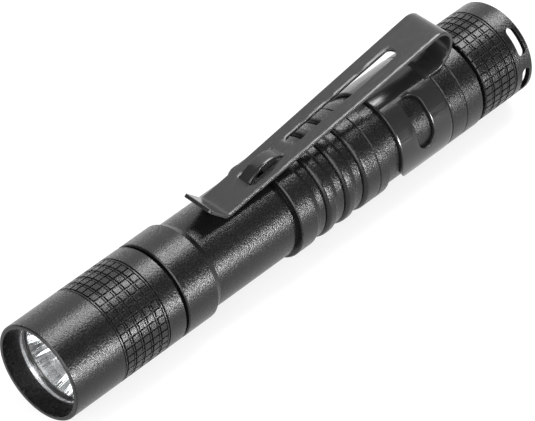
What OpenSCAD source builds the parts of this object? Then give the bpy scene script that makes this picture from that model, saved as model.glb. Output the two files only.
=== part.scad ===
// Penlight for one AAA cell: a turned aluminium body with a screw-on head and tail cap, a push
// button in the tail and a spring steel pocket clip.
// It lies along X with the beam towards +X and the clip on top. Its axis is half the body
// diameter above Z = 0, and the origin is under the middle of its length.

/* [Body] */
// Outer diameter of the head and the collars
body_d = 14; // [13.8:0.1:18]
// How far the tail cap's outside lies below the collars
tail_step = 0.1; // [0:0.05:0.15]
// Outer diameter of the smooth barrel in front of the ribs
barrel_d = 12.8; // [12.4:0.1:13.4]
// Length of the collar behind the clip
rear_collar_len = 6.1; // [4.5:0.1:9]
// Length of the groove that the clip's sleeve sits in
clip_groove_len = 12.2; // [10.5:0.1:16]
// Depth of that groove
clip_groove_depth = 0.48; // [0.4:0.02:0.8]
// Length of the flat band in front of the clip
rear_band_len = 4.15; // [3:0.05:7]
// Number of grip ribs
rib_count = 2; // [1:1:3]
// Depth of the valleys beside the grip ribs
rib_depth = 0.6; // [0.3:0.05:0.8]
// Length of the curve that rises to a rib's crest
rib_rise = 1; // [0.6:0.05:1.4]
// Length of a rib's flat crest
rib_crest = 0.65; // [0.5:0.05:1.3]
// Length of the rounded fall in front of a rib's crest
rib_fall = 0.65; // [0.6:0.05:1.4]
// Length of the valley floor
rib_floor = 0.3; // [0.2:0.05:0.8]
// Length of the shoulder between each valley and the next rib
rib_shoulder = 0.9; // [0.4:0.05:1.2]
// Depth of the shoulders, as a share of the depth of the valleys
rib_step = 0.6; // [0.3:0.05:0.9]
// Length of the flat band in front of the ribs
front_band_len = 2.8; // [2:0.1:5]
// Width of the relief groove between that band and the barrel
relief_w = 0.75; // [0.4:0.05:1.2]
// Depth of the relief groove below the barrel
relief_depth = 0.35; // [0.1:0.05:0.5]
// Length of the cone from the barrel up to the front collar
barrel_cone_len = 1.05; // [0.6:0.05:1.6]
// Length of the front collar
front_collar_len = 5.15; // [4:0.05:7]
// Width of the fine turned grooves
fine_groove_w = 0.26; // [0.16:0.02:0.4]
// Depth of the fine turned grooves
fine_groove_depth = 0.16; // [0.08:0.02:0.25]
// Distance of the fine groove from the rear edge of the rear collar
collar_groove_at = 3.15; // [1.5:0.05:3.8]
// Distance of the fine groove from the rear edge of the rear band
band_groove_at = 1.85; // [1:0.05:2.4]
// Chamfer that breaks the turned edges
edge = 0.15; // [0.05:0.01:0.25]

/* [Knurl] */
// Length of one row of knurl pads
knurl_pitch = 1.5; // [1.2:0.05:1.8]
// Number of rows on the head
head_rows = 5; // [3:1:6]
// Number of rows on the tail cap
tail_rows = 4; // [2:1:4]
// Number of pads around
knurl_count = 40; // [24:1:48]
// Width of the ring grooves between the pads
knurl_groove_w = 0.56; // [0.3:0.02:0.6]
// Width of the straight grooves between the pads
knurl_slot_w = 0.26; // [0.1:0.02:0.4]
// Depth of the grooves between the pads
knurl_depth = 0.26; // [0.1:0.02:0.3]

/* [Cell and tube] */
// Diameter of the cell
cell_d = 10.5; // [10:0.1:10.6]
// Length of the cell over its terminal
cell_len = 44.5; // [40:0.1:50]
// Diameter of the cell's raised terminal
nub_d = 3.8; // [3:0.1:4.5]
// Height of the raised terminal
nub_h = 1; // [0.6:0.1:1.6]
// Radial room around the cell
cell_clear = 0.1; // [0.05:0.01:0.15]
// Wall under the O-ring grooves
neck_wall = 0.3; // [0.2:0.05:0.35]
// Wall of the threaded ends, up to the thread's crest
thread_wall = 0.63; // [0.5:0.01:0.7]
// Pitch of the threads
thread_pitch = 0.75; // [0.5:0.05:1]
// Depth of the threads
thread_depth = 0.22; // [0.1:0.02:0.3]
// Length of each threaded end
thread_len = 2.3; // [1.8:0.1:3.5]
// Radial clearance of the threads
thread_clear = 0.07; // [0.03:0.01:0.1]
// Thickness of the O-rings
o_ring_w = 0.6; // [0.4:0.05:0.65]
// Clearance of the O-rings at their groove and their bore
o_ring_clear = 0.02; // [0.01:0.01:0.04]
// Length of the smooth bore that runs over an O-ring
land_len = 1.1; // [0.9:0.05:1.6]
// Gap between the tail cap and the rear collar
tail_gap = 0.7; // [0.3:0.05:1.2]
// Gap between the front collar and the head
head_gap = 0.5; // [0.3:0.05:1]
// Gap between the ends of the tube and what they face inside the caps
end_gap = 0.2; // [0.1:0.05:0.5]
// Length of the compressed tail spring
tail_spring_len = 8.1; // [6:0.1:10]
// Length of the compressed contact spring
contact_spring_len = 5.1; // [4:0.1:7]
// Wire thickness of both springs
wire_d = 0.5; // [0.4:0.05:0.6]
// Number of curls of the tail spring
tail_curls = 6; // [4:1:7]
// Number of curls of the contact spring
contact_curls = 4; // [3:1:4]
// Gap between a spring's end and the face that it bears on
spring_gap = 0.05; // [0.02:0.01:0.1]

/* [Tail switch] */
// Depth of the open recess around the button
recess_depth = 2.5; // [2.3:0.1:3.5]
// Wall of the crown around that recess
crown_wall = 0.7; // [0.6:0.1:2.2]
// Thickness of the web that traps the button
tail_web_t = 0.7; // [0.5:0.05:1.2]
// Diameter of the push button
button_d = 6.6; // [5:0.1:7.4]
// Height of the button in the recess
button_h = 1.8; // [1:0.1:2.2]
// Thickness of the button's flange
flange_t = 0.4; // [0.3:0.05:0.8]
// How far the flange stands out round the button
flange_w = 1.2; // [0.6:0.05:1.2]
// Travel of the button
button_travel = 0.8; // [0.4:0.05:1.2]
// Running clearance of the button and of its plunger
button_clear = 0.08; // [0.03:0.01:0.1]
// Diameter of the plunger
plunger_d = 2; // [1.4:0.1:3]
// Thickness of the switch board
switch_board_t = 0.6; // [0.4:0.05:1]
// Thickness of the ring that holds the switch
switch_ring_t = 0.8; // [0.6:0.05:1.2]
// Diameter of the switch
switch_d = 8.4; // [7:0.1:9.2]
// Length of the switch
switch_len = 7.4; // [6:0.1:9]
// Length of each lanyard slot, along the rim
lanyard_slot_len = 4.3; // [3:0.1:4.6]
// Width of each lanyard slot, along the axis
lanyard_slot_w = 1.4; // [1:0.1:1.6]
// Distance of the slots' centre line from the tail end
lanyard_at = 1.5; // [1.2:0.05:1.6]
// Angle between the two lanyard slots
lanyard_spread = 53; // [46:1:60]
// Direction of the lanyard bar, from the side at +Y (0) to the top (90)
lanyard_turn = 17; // [-30:1:50]

/* [Head] */
// Length of the smooth band behind the head's knurl
head_band = 3.2; // [2:0.1:4]
// Wall of the head around the reflector
head_wall = 0.8; // [0.6:0.05:1.2]
// Width of the front rim
rim_w = 0.6; // [0.45:0.05:0.6]
// Depth of the open cup in front of the lens ring
cup_depth = 2.5; // [1.5:0.1:4]
// Thickness of the driver board
driver_t = 1; // [0.6:0.05:1.4]
// Depth of the pocket for the driver's parts
driver_pocket = 1; // [0.9:0.05:1.6]
// Thickness of the pill's front wall
pill_web_t = 1.6; // [1:0.1:2.5]
// Thickness of the web that the pill screws up against
head_web_t = 0.6; // [0.4:0.05:1]
// Wall of the pill around the driver board
pill_wall = 0.6; // [0.4:0.05:0.9]
// Thickness of the emitter board
led_board_t = 0.8; // [0.6:0.05:1.4]
// Side of the square emitter package
led_side = 3.5; // [3:0.1:3.8]
// Thickness of the emitter package
led_t = 0.7; // [0.4:0.05:1]
// Diameter of the emitter's dome
led_dome_d = 2.6; // [2:0.1:2.8]
// Thickness of the ring that insulates the reflector
insulator_t = 0.5; // [0.3:0.05:0.8]
// Length of the reflector
reflector_len = 6; // [4.5:0.1:8]
// Diameter of the hole in the reflector
reflector_hole_d = 5.6; // [5.5:0.1:6]
// Width of the reflector's front edge
reflector_edge = 0.4; // [0.3:0.05:0.6]
// Thickness of the lens gasket
gasket_t = 0.3; // [0.2:0.05:0.5]
// Thickness of the lens
lens_t = 1.2; // [0.8:0.1:2]
// Thickness of the ring that holds the lens
lens_ring_t = 0.4; // [0.3:0.05:0.8]
// Width of that ring
lens_ring_w = 0.3; // [0.2:0.02:0.4]
// Radial clearance of what is pushed into the head and the tail cap
fit_clear = 0.04; // [0.02:0.01:0.08]

/* [Clip] */
// Thickness of the clip's strip
strip_t = 0.5; // [0.35:0.05:0.6]
// Running clearance between the sleeve and its groove
clip_clear = 0.03; // [0.02:0.01:0.06]
// Length of the sleeve
sleeve_len = 9.75; // [8.5:0.05:10]
// Part of a turn that the sleeve goes round
sleeve_wrap = 264; // [230:1:280]
// Radius of the sleeve's front corners
sleeve_front_r = 4.2; // [2:0.1:4.8]
// Radius of the sleeve's rear corners
sleeve_rear_r = 2; // [1:0.1:3]
// Length of the window in the sleeve, around it
window_len = 7.7; // [4:0.1:8]
// Width of the window, along the axis
window_w = 3.2; // [2:0.1:4]
// Angle of the window above the horizontal, on the side at +Y
window_turn = 33; // [25:1:36]
// Distance of the window's centre from the sleeve's rear edge
window_at = 4.95; // [4:0.05:6]
// Height of the strip over the rear collar
leg_gap = 0.1; // [0.05:0.01:0.3]
// Height of the bend's underside over the rear collar
bend_gap = 0.2; // [0.15:0.01:0.6]
// Outer radius of the bend
bend_r = 2.9; // [2:0.1:3.6]
// Distance of the bend's centre from the rear edge of the clip groove
bend_at = 1.2; // [0.8:0.05:3.5]
// Half width of the strip where it leaves the sleeve
leg_half_w = 2.3; // [1.8:0.05:2.6]
// Half width of the strip at the bend
bend_half_w = 2.9; // [2.6:0.05:3.6]
// Half width of the arm before its jog
arm_half_w = 2.55; // [2.2:0.05:3]
// Step of each edge at the jog
jog = 0.1; // [0.05:0.01:0.3]
// Distance of the jog from the end of the arm
jog_at = 6; // [4:0.1:8]
// How far along the barrel the arm's tip bears
tip_reach = 7.9; // [6:0.05:9]
// Gap under the tip
tip_gap = 0.1; // [0.05:0.01:0.3]
// Inner radius of the turned-up tip
tip_r = 0.95; // [0.6:0.05:2]
// Slope of the turned-up lip
lip_angle = 44; // [30:1:60]
// Length of the lip
lip_len = 3.7; // [1.2:0.1:4.5]
// Radius of the lip's corners
lip_corner_r = 0.5; // [0.3:0.05:1.2]
// Distance of the arm's slot from the bend
slot_from = 5.1; // [3:0.1:8]
// Length of the arm's slot
slot_len = 20.5; // [12:0.1:22]
// Width of the arm's slot
slot_w = 1.7; // [1:0.05:2.2]
// Distance of the raised bridge from the end of the arm
bridge_from = 4.9; // [4:0.1:6]
// Length of the raised bridge
bridge_len = 6.4; // [4:0.1:6.6]
// Width of the raised bridge
bridge_w = 1.8; // [1.6:0.05:3]
// Rise of the bridge
bridge_rise = 1.25; // [0.4:0.05:1.5]
// Width of the slits beside the bridge
bridge_slit = 0.16; // [0.08:0.01:0.2]

/* [Hidden] */
$fn = 96;
// Room by which cutters pass the faces that they cut
over = 1;

// Radii of the tube, from the cell outwards
body_r = body_d / 2;
tail_r = body_r - tail_step;
barrel_r = barrel_d / 2;
bore_r = cell_d / 2 + cell_clear;
o_groove_r = bore_r + neck_wall;
land_r = o_groove_r + o_ring_w + 2 * o_ring_clear;
neck_r = land_r - 4 * o_ring_clear;
thread_r = bore_r + thread_wall;
thread_bore_r = thread_r + thread_clear;
clip_groove_r = body_r - clip_groove_depth;

// Stations along the axis, from the tail end
web_s = recess_depth;
flange_s = web_s + tail_web_t + spring_gap;
switch_board_s = flange_s + flange_t + button_travel + spring_gap;
switch_s = switch_board_s + switch_board_t;
tube_s = switch_s + switch_ring_t + end_gap;
tail_land_s = tube_s + thread_len;
tail_len = tail_land_s + land_len;
collar_s = tail_len + tail_gap;
groove_s = collar_s + rear_collar_len;
band_s = groove_s + clip_groove_len;
ribs_s = band_s + rear_band_len;
rib_pitch = rib_fall + rib_floor + rib_shoulder + rib_rise + rib_crest;
rib_shoulder_end = rib_fall + rib_floor + rib_shoulder;
front_band_s = ribs_s + (rib_count + 1) * rib_pitch - rib_crest;
relief_s = front_band_s + front_band_len;
barrel_s = relief_s + relief_w;
spring_s = switch_s + switch_len;
cell_s = spring_s + tail_spring_len;
contact_s = cell_s + cell_len;
pill_s = contact_s + contact_spring_len;
tube_end_s = pill_s - end_gap;
head_land_end_s = tube_end_s - thread_len;
head_s = head_land_end_s - land_len;
collar_end_s = head_s - head_gap;
front_collar_s = collar_end_s - front_collar_len;
cone_s = front_collar_s - barrel_cone_len;
pill_pocket_s = pill_s + driver_t;
pill_front_s = pill_pocket_s + driver_pocket + pill_web_t;
led_board_s = pill_front_s + head_web_t;
insulator_s = led_board_s + led_board_t;
reflector_s = insulator_s + insulator_t;
gasket_s = reflector_s + reflector_len;
lens_s = gasket_s + gasket_t;
lens_ring_s = lens_s + lens_t;
cup_s = lens_ring_s + lens_ring_t;
total_len = cup_s + cup_depth;

// Radii in the tail cap and the head
recess_r = tail_r - crown_wall;
button_r = button_d / 2;
flange_r = button_r + flange_w;
spacer_r = min(recess_r, thread_bore_r - 4 * fit_clear);
plunger_r = plunger_d / 2;
plunger_depth = 2;
chamber_r = body_r - head_wall;
seat_r = chamber_r - fit_clear;
mouth_r = body_r - rim_w;
pill_r = thread_bore_r - fit_clear;
driver_r = pill_r - pill_wall;
boss_r = driver_r - pill_wall / 2;
reflector_mouth_r = seat_r - reflector_edge;
hole_r = reflector_hole_d / 2;

// Lengths of the knurled stretches
head_knurl_s = head_s + head_band;
tail_knurl_s = tail_len - tail_rows * knurl_pitch;
knurl_inset = 0.33 * knurl_groove_w;

// The clip in side view, [station, height over the axis]: bend and tip circles, and its arm
sleeve_s = groove_s + edge;
sleeve_in_r = clip_groove_r + clip_clear;
sleeve_r = sleeve_in_r + strip_t;
bend_mid_r = bend_r - strip_t / 2;
bend_c = [groove_s - bend_at, body_r + bend_gap + bend_r];
tip_mid_r = tip_r + strip_t / 2;
tip_c = [barrel_s + tip_reach, barrel_r + tip_gap + strip_t + tip_r];
centres = tip_c - bend_c;
arm_angle = atan2(centres[1], centres[0]) - asin((bend_mid_r + tip_mid_r) / norm(centres));
arm_start = bend_c + bend_mid_r * strip_normal(arm_angle);
arm_end = tip_c - tip_mid_r * strip_normal(arm_angle);
arm_len = norm(arm_end - arm_start);
tip_half_w = arm_half_w - jog;

// Direction square to a strip that runs at an angle, towards the clip's outer face
function strip_normal(angle) = [-sin(angle), cos(angle)];

// Direction along a strip that runs at an angle
function strip_along(angle) = [cos(angle), sin(angle)];

// Centre of the circle through three points
function circle_centre(a, b, c) =
    let (
        ab = b - a,
        ac = c - a,
        d = 2 * (ab[0] * ac[1] - ab[1] * ac[0]),
        p = ab * ab,
        q = ac * ac
    )
    a + [(ac[1] * p - ab[1] * q) / d, (ab[0] * q - ac[0] * p) / d];

// Outline of a V groove of radius r cut at station s
function fine_groove(s, r) =
    [[r, s - fine_groove_w / 2], [r - fine_groove_depth, s], [r, s + fine_groove_w / 2]];

// Outline of a threaded end: ridges of the pitch, from station s over the thread's length
function ridges(s) =
    let (turns = floor(thread_len / thread_pitch), first = s + (thread_len - turns * thread_pitch) / 2)
    [for (i = [0:turns - 1], p = [[-thread_depth, 0], [0, 0.4], [0, 0.6], [-thread_depth, 1]])
        [thread_r + p[0], first + (i + p[1]) * thread_pitch]];

// Outline of the grip ribs, from the front edge of the rear band to the front band's crest
function ribs() =
    [for (i = [0:rib_count], p = rib_points()) [body_r - p[0] * rib_depth, ribs_s + i * rib_pitch + p[1]]];

// One valley, its shoulder and the rise: share of the depth, and distance from the crest before it
function rib_points() = concat(
    [for (a = [0:18:90]) [1 - cos(a), rib_fall * sin(a)]],
    [[1, rib_fall + rib_floor], [rib_step, rib_fall + rib_floor]],
    [for (t = [0:0.125:1]) [rib_step * (1 + cos(180 * t)) / 2, rib_shoulder_end + rib_rise * t]]
);

// Outline of knurl ring grooves of radius r: n of them, a pitch apart, the first one at station s
function ring_grooves(s, n, r) =
    [for (i = [0:n - 1], p = ring_points())
        [r - p[0] * knurl_depth, s + i * knurl_pitch + p[1] * knurl_groove_w]];

// One ring groove with the low ridge along its middle: shares of the depth and of the width
function ring_points() = [
    [0, -0.5], [1, -0.43], [1, -0.23], [0.2, -0.16], [0.2, 0.16], [1, 0.23], [1, 0.43], [0, 0.5]
];

// Centre line of a spring of n curls from radius r0 to r1, with its wire between stations s0 and s1
function coil(n, r0, r1, s0, s1) =
    [for (i = [0:8 * n])
        let (t = i / (8 * n), r = r0 + (r1 - r0) * t, a = 45 * i)
        [s0 + wire_d / 2 + (s1 - s0 - wire_d) * t, r * cos(a), r * sin(a)]];

// Least gap of a coil's wire to itself, between points at least five eighths of a curl apart
function coil_gap(p) =
    min([for (i = [0:len(p) - 6], j = [i + 5:len(p) - 1]) norm(p[i] - p[j])]) - wire_d;

// A face's point numbers, counted from the number of its ring's first point
function counted_from(first, face) = [for (k = face) first + k];

// Places its children on the light's axis, with X counted from the tail end
module on_axis() {
    translate([-total_len / 2, 0, body_r])
        children();
}

// Turned solid from an outline of [radius, station] points
module turned(outline) {
    on_axis()
        rotate([0, 90, 0])
            rotate_extrude()
                polygon(outline);
}

// Plain ring or disc between two radii and two stations
module ring(r_in, r_out, s0, s1) {
    turned([[r_in, s0], [r_out, s0], [r_out, s1], [r_in, s1]]);
}

// O-ring that sits in a groove from station s on
module o_ring(s) {
    on_axis()
        rotate([0, 90, 0])
            translate([0, 0, s])
                rotate_extrude()
                    translate([o_groove_r + o_ring_clear + o_ring_w / 2, 0])
                        circle(d = o_ring_w, $fn = 32);
}

// Cutters for the straight grooves of a knurl of radius r, from station s0 to s1
module knurl_slots(s0, s1, r) {
    depth = 0.9 * knurl_depth;
    on_axis()
        for (i = [0:knurl_count - 1])
            rotate([i * 360 / knurl_count, 0, 0])
                translate([s0, r - depth, -knurl_slot_w / 2])
                    cube([s1 - s0, depth + over, knurl_slot_w]);
}

// Slot with round ends, along Z and cut outwards along Y from the height y
module round_slot(length, width, y, depth) {
    run = length - width;
    translate([0, y, 0])
        rotate([-90, 0, 0])
            union() {
                translate([-width / 2, -run / 2, 0])
                    cube([width, run, depth]);
                for (end = [-1, 1])
                    translate([0, end * run / 2, 0])
                        cylinder(d = width, h = depth, $fn = 48);
            }
}

// Coil spring: a six-sided wire along the points of a coil
module wire(points) {
    last = len(points) - 1;
    sides = 6;
    rings = [for (i = [0:last])
        let (
            along = points[min(i + 1, last)] - points[max(i - 1, 0)],
            t = along / norm(along),
            out = [0, points[i][1], points[i][2]] / norm([0, points[i][1], points[i][2]]),
            n = (out - (out * t) * t) / norm(out - (out * t) * t),
            b = cross(t, n)
        )
        for (k = [0:sides - 1]) points[i] + wire_d / 2 * (cos(k * 60) * n + sin(k * 60) * b)];
    walls = [for (i = [0:last - 1], k = [0:sides - 1])
        let (a = i * sides + k, b = i * sides + (k + 1) % sides)
        each [[a, a + sides, b], [b, a + sides, b + sides]]];
    caps = [for (k = [1:sides - 2]) each [[0, k, k + 1], counted_from(last * sides, [0, k + 1, k])]];
    on_axis()
        polyhedron(points = rings, faces = concat(walls, caps), convexity = 8);
}

module tail_cap() {
    color("#1d1d1f")
        difference() {
            turned(concat(
                [[recess_r, 0], [tail_r - 2 * edge, 0], [tail_r, 2 * edge]],
                ring_grooves(tail_knurl_s, tail_rows, tail_r),
                [
                    [tail_r, tail_len - edge], [tail_r - edge, tail_len], [land_r, tail_len],
                    [land_r, tail_land_s], [thread_bore_r, tail_land_s],
                    [thread_bore_r, switch_board_s], [spacer_r, switch_board_s],
                    [spacer_r, web_s + tail_web_t], [button_r + button_clear, web_s + tail_web_t],
                    [button_r + button_clear, web_s], [recess_r, web_s]
                ]
            ));
            knurl_slots(tail_knurl_s + knurl_inset, tail_len + over, tail_r);
            on_axis()
                for (side = [-0.5, 0.5])
                    rotate([lanyard_turn + side * lanyard_spread, 0, 0])
                        translate([lanyard_at, 0, 0])
                            round_slot(lanyard_slot_len, lanyard_slot_w, recess_r / 2, body_r);
        }
}

module push_button() {
    top_s = web_s - button_h;
    dome_r = 3 * button_r;
    color("#2a2a2c")
        union() {
            ring(0, flange_r, flange_s, flange_s + flange_t);
            intersection() {
                ring(0, button_r, top_s, flange_s + flange_t / 2);
                on_axis()
                    translate([top_s + dome_r, 0, 0])
                        sphere(r = dome_r);
            }
        }
}

module spacer_ring() {
    color("#e8e4d8")
        ring(flange_r + 2 * fit_clear, spacer_r - fit_clear, web_s + tail_web_t, switch_board_s);
}

module switch_board() {
    color("#1f4d2e")
        ring(plunger_r + 2 * button_clear, thread_bore_r - fit_clear, switch_board_s, switch_s);
}

module switch_ring() {
    color("#c9a54a")
        difference() {
            ring(switch_d / 2 + fit_clear, thread_bore_r - fit_clear, switch_s, switch_s + switch_ring_t);
            on_axis()
                for (side = [0, 180])
                    rotate([side, 0, 0])
                        translate([switch_s + switch_ring_t / 2, switch_d / 2 - over, -switch_ring_t / 2])
                            cube([over, body_r, switch_ring_t]);
        }
}

module switch_body() {
    bore_end_s = switch_s + plunger_depth + button_travel;
    color("#3a3a3c")
        turned([
            [plunger_r + button_clear, switch_s], [switch_d / 2, switch_s],
            [switch_d / 2, spring_s - edge], [switch_d / 2 - edge, spring_s], [0, spring_s],
            [0, bore_end_s], [plunger_r + button_clear, bore_end_s]
        ]);
}

module switch_plunger() {
    color("#f0eee6")
        ring(0, plunger_r, flange_s + flange_t, switch_s + plunger_depth - spring_gap);
}

module tail_spring() {
    wide_r = switch_d / 2 - wire_d;
    narrow_r = nub_d / 2 + wire_d;
    points = coil(tail_curls, wide_r, narrow_r, spring_s + spring_gap, cell_s - spring_gap);
    echo(tail_spring_least_gap_mm = coil_gap(points));
    color("#c0c0c4")
        wire(points);
}

module body_tube() {
    color("#1d1d1f")
        turned(concat(
            [[bore_r, tube_s], [thread_r - thread_depth, tube_s]],
            ridges(tube_s),
            [
                [thread_r - thread_depth, tail_land_s], [thread_r, tail_land_s],
                [thread_r, tail_land_s + o_ring_clear], [o_groove_r, tail_land_s + o_ring_clear],
                [o_groove_r, tail_land_s + o_ring_w + 3 * o_ring_clear],
                [neck_r, tail_land_s + o_ring_w + 3 * o_ring_clear], [neck_r, collar_s],
                [body_r - edge, collar_s], [body_r, collar_s + edge]
            ],
            fine_groove(collar_s + collar_groove_at, body_r),
            [
                [body_r, groove_s - edge], [body_r - edge, groove_s], [clip_groove_r, groove_s],
                [clip_groove_r, band_s], [body_r - edge, band_s], [body_r, band_s + edge]
            ],
            fine_groove(band_s + band_groove_at, body_r),
            ribs(),
            [
                [body_r, relief_s - edge], [body_r - edge, relief_s], [barrel_r - relief_depth, relief_s],
                [barrel_r - relief_depth, barrel_s], [barrel_r - edge, barrel_s],
                [barrel_r, barrel_s + edge], [barrel_r, cone_s], [body_r, front_collar_s],
                [body_r, collar_end_s - edge], [body_r - edge, collar_end_s], [neck_r, collar_end_s],
                [neck_r, head_land_end_s - o_ring_w - 3 * o_ring_clear],
                [o_groove_r, head_land_end_s - o_ring_w - 3 * o_ring_clear],
                [o_groove_r, head_land_end_s - o_ring_clear], [thread_r, head_land_end_s - o_ring_clear],
                [thread_r, head_land_end_s], [thread_r - thread_depth, head_land_end_s]
            ],
            ridges(head_land_end_s),
            [[thread_r - thread_depth, tube_end_s], [bore_r, tube_end_s]]
        ));
}

module tail_o_ring() {
    color("#111111")
        o_ring(tail_land_s + o_ring_w / 2 + 2 * o_ring_clear);
}

module head_o_ring() {
    color("#111111")
        o_ring(head_land_end_s - o_ring_w / 2 - 2 * o_ring_clear);
}

module battery_can() {
    can_end_s = contact_s - nub_h;
    color("#8a8d91")
        turned([
            [0, cell_s], [cell_d / 2 - 2 * edge, cell_s], [cell_d / 2, cell_s + 2 * edge],
            [cell_d / 2, can_end_s - 2 * edge], [cell_d / 2 - 2 * edge, can_end_s],
            [nub_d, can_end_s], [nub_d, can_end_s - nub_h], [0, can_end_s - nub_h]
        ]);
}

module battery_seal() {
    can_end_s = contact_s - nub_h;
    color("#2f6f8f")
        ring(nub_d / 2, nub_d, can_end_s - nub_h, can_end_s);
}

module battery_cap() {
    color("#cfd2d6")
        turned([
            [0, contact_s - 2 * nub_h], [nub_d / 2, contact_s - 2 * nub_h],
            [nub_d / 2, contact_s - edge], [nub_d / 2 - edge, contact_s], [0, contact_s]
        ]);
}

// A quarter circle of points round a centre, that starts at an angle
function quarter(centre, r, from) = [for (a = [0:9:90]) centre + r * strip_along(from + a)];

// The sleeve's outline in side view: straight above, with round corners below
function sleeve_outline() =
    let (front_s = sleeve_s + sleeve_len, low = -sleeve_r * sin(sleeve_wrap / 2 - 90))
    concat(
        [[front_s, body_d], [sleeve_s, body_d]],
        quarter([sleeve_s + sleeve_rear_r, low + sleeve_rear_r], sleeve_rear_r, 180),
        quarter([front_s - sleeve_front_r, low + sleeve_front_r], sleeve_front_r, 270)
    );

// The sleeve round the body: a ring that is open below, with a window in the side at +Y
module sleeve() {
    difference() {
        intersection() {
            ring(sleeve_in_r, sleeve_r, sleeve_s, sleeve_s + sleeve_len);
            on_axis()
                rotate([90, 0, 0])
                    translate([0, 0, -body_d])
                        linear_extrude(2 * body_d)
                            polygon(sleeve_outline());
        }
        on_axis()
            rotate([window_turn, 0, 0])
                translate([sleeve_s + window_at, 0, 0])
                    round_slot(window_len, window_w, body_r / 2, body_r);
    }
}

// Sections of the clip's strip, from the sleeve round the bend to the lip. Each one is
// [middle point, angle, half width, thickness, how far it follows the round of the body]
function strip_sections() = concat(
    [
        [[sleeve_s + 2 * strip_t, sleeve_in_r + strip_t / 2], 180, leg_half_w, 0.8 * strip_t, 1],
        [[groove_s + edge / 2, body_r + leg_gap + strip_t / 2], 180, leg_half_w, strip_t, 1],
        [[groove_s - bend_at / 2, body_r + (leg_gap + bend_gap + strip_t) / 2], 180,
            (leg_half_w + bend_half_w) / 2, strip_t, 1]
    ],
    [for (i = [0:16])
        let (a = 180 + (arm_angle - 180) * i / 16)
        [bend_c + bend_mid_r * strip_normal(a), a, bend_half_w, strip_t, max(0, 1 - i / 8)]],
    [
        [arm_end - jog_at * strip_along(arm_angle), arm_angle, arm_half_w, strip_t, 0],
        [arm_end - (jog_at - 1) * strip_along(arm_angle), arm_angle, tip_half_w, strip_t, 0]
    ],
    [for (i = [0:8])
        let (a = arm_angle + (lip_angle - arm_angle) * i / 8)
        [tip_c - tip_mid_r * strip_normal(a), a, tip_half_w, strip_t, 0]],
    [for (a = [0:18:90])
        [
            tip_c - tip_mid_r * strip_normal(lip_angle)
                + (lip_len - lip_corner_r * (1 - sin(a))) * strip_along(lip_angle),
            lip_angle, tip_half_w - lip_corner_r * (1 - cos(a)), strip_t, 0
        ]]
);

// How far a section of the strip drops at the width y, to follow a round of the body's radius
function strip_drop(y) = body_r - sqrt(body_r * body_r - y * y);

// The strip as one swept sheet: each section has its outer edge points, then its inner ones
module strip() {
    sections = strip_sections();
    across = 8;
    n = 2 * (across + 1);
    points = [for (c = sections, face = [1, -1], k = [0:across])
        let (
            y = face * c[2] * (2 * k / across - 1),
            mid = c[0] + face * c[3] / 2 * strip_normal(c[1])
        )
        [mid[0], y, mid[1] - c[4] * strip_drop(y)]];
    last = n * (len(sections) - 1);
    walls = [for (i = [0:len(sections) - 2], k = [0:n - 1])
        let (a = i * n + k, b = i * n + (k + 1) % n)
        each [[a, b, b + n], [a, b + n, a + n]]];
    ends = [for (k = [0:across - 1])
        let (m = n - 1 - k)
        each [
            [k, m, k + 1], [k + 1, m, m - 1],
            counted_from(last, [k, k + 1, m]), counted_from(last, [k + 1, m - 1, m])
        ]];
    on_axis()
        polyhedron(points = points, faces = concat(walls, ends), convexity = 8);
}

// Places its children on the arm: X along it from the bend, Z square to it from its middle
module on_arm() {
    on_axis()
        translate([arm_start[0], 0, arm_start[1]])
            rotate([0, -arm_angle, 0])
                children();
}

// The bridge: a strip of the arm between two slits, pressed up into an arch
module bridge() {
    half = bridge_len / 2;
    arch_r = (half * half + bridge_rise * bridge_rise) / (2 * bridge_rise);
    drop = arch_r - bridge_rise;
    on_arm()
        translate([arm_len - bridge_from - half, bridge_w / 2, -drop])
            rotate([90, 0, 0])
                linear_extrude(bridge_w)
                    intersection() {
                        difference() {
                            circle(arch_r + strip_t / 2, $fn = 180);
                            circle(arch_r - strip_t / 2, $fn = 180);
                        }
                        translate([-half - strip_t, drop - strip_t / 4])
                            square([bridge_len + 2 * strip_t, bridge_rise + 2 * strip_t]);
                    }
}

module pocket_clip() {
    cut_w = bridge_w + 2 * bridge_slit;
    color("#4a4a4c")
        union() {
            sleeve();
            difference() {
                strip();
                on_arm() {
                    translate([slot_from + slot_len / 2, 0, 0])
                        rotate([90, 0, 90])
                            round_slot(slot_len, slot_w, -strip_t, 2 * strip_t);
                    translate([arm_len - bridge_from - bridge_len, -cut_w / 2, -strip_t])
                        cube([bridge_len, cut_w, 2 * strip_t]);
                }
            }
            bridge();
        }
}

module contact_spring() {
    narrow_r = nub_d / 2 - wire_d;
    points = coil(contact_curls, narrow_r, driver_r / 2, contact_s + spring_gap, pill_s - spring_gap);
    echo(contact_spring_least_gap_mm = coil_gap(points));
    color("#d8b25a")
        wire(points);
}

module driver_board() {
    color("#1f4d2e")
        ring(0, driver_r - fit_clear, pill_s, pill_pocket_s);
}

module driver_parts() {
    part_h = 0.7 * driver_pocket;
    color("#26262a")
        on_axis()
            for (p = [[-1.6, -1.4, 2.2], [1.5, -1.2, 1.4], [0.2, 1.6, 1.8]])
                translate([pill_pocket_s, p[0] - p[2] / 2, p[1] - p[2] / 2])
                    cube([part_h, p[2], p[2]]);
}

module led_pill() {
    color("#b98f3e")
        turned([
            [driver_r, pill_s], [pill_r, pill_s], [pill_r, pill_front_s],
            [boss_r, pill_front_s], [boss_r, led_board_s], [0, led_board_s],
            [0, pill_pocket_s + driver_pocket], [boss_r, pill_pocket_s + driver_pocket],
            [boss_r, pill_pocket_s], [driver_r, pill_pocket_s]
        ]);
}

module led_board() {
    color("#dcdcd6")
        ring(0, boss_r, led_board_s, insulator_s);
}

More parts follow.
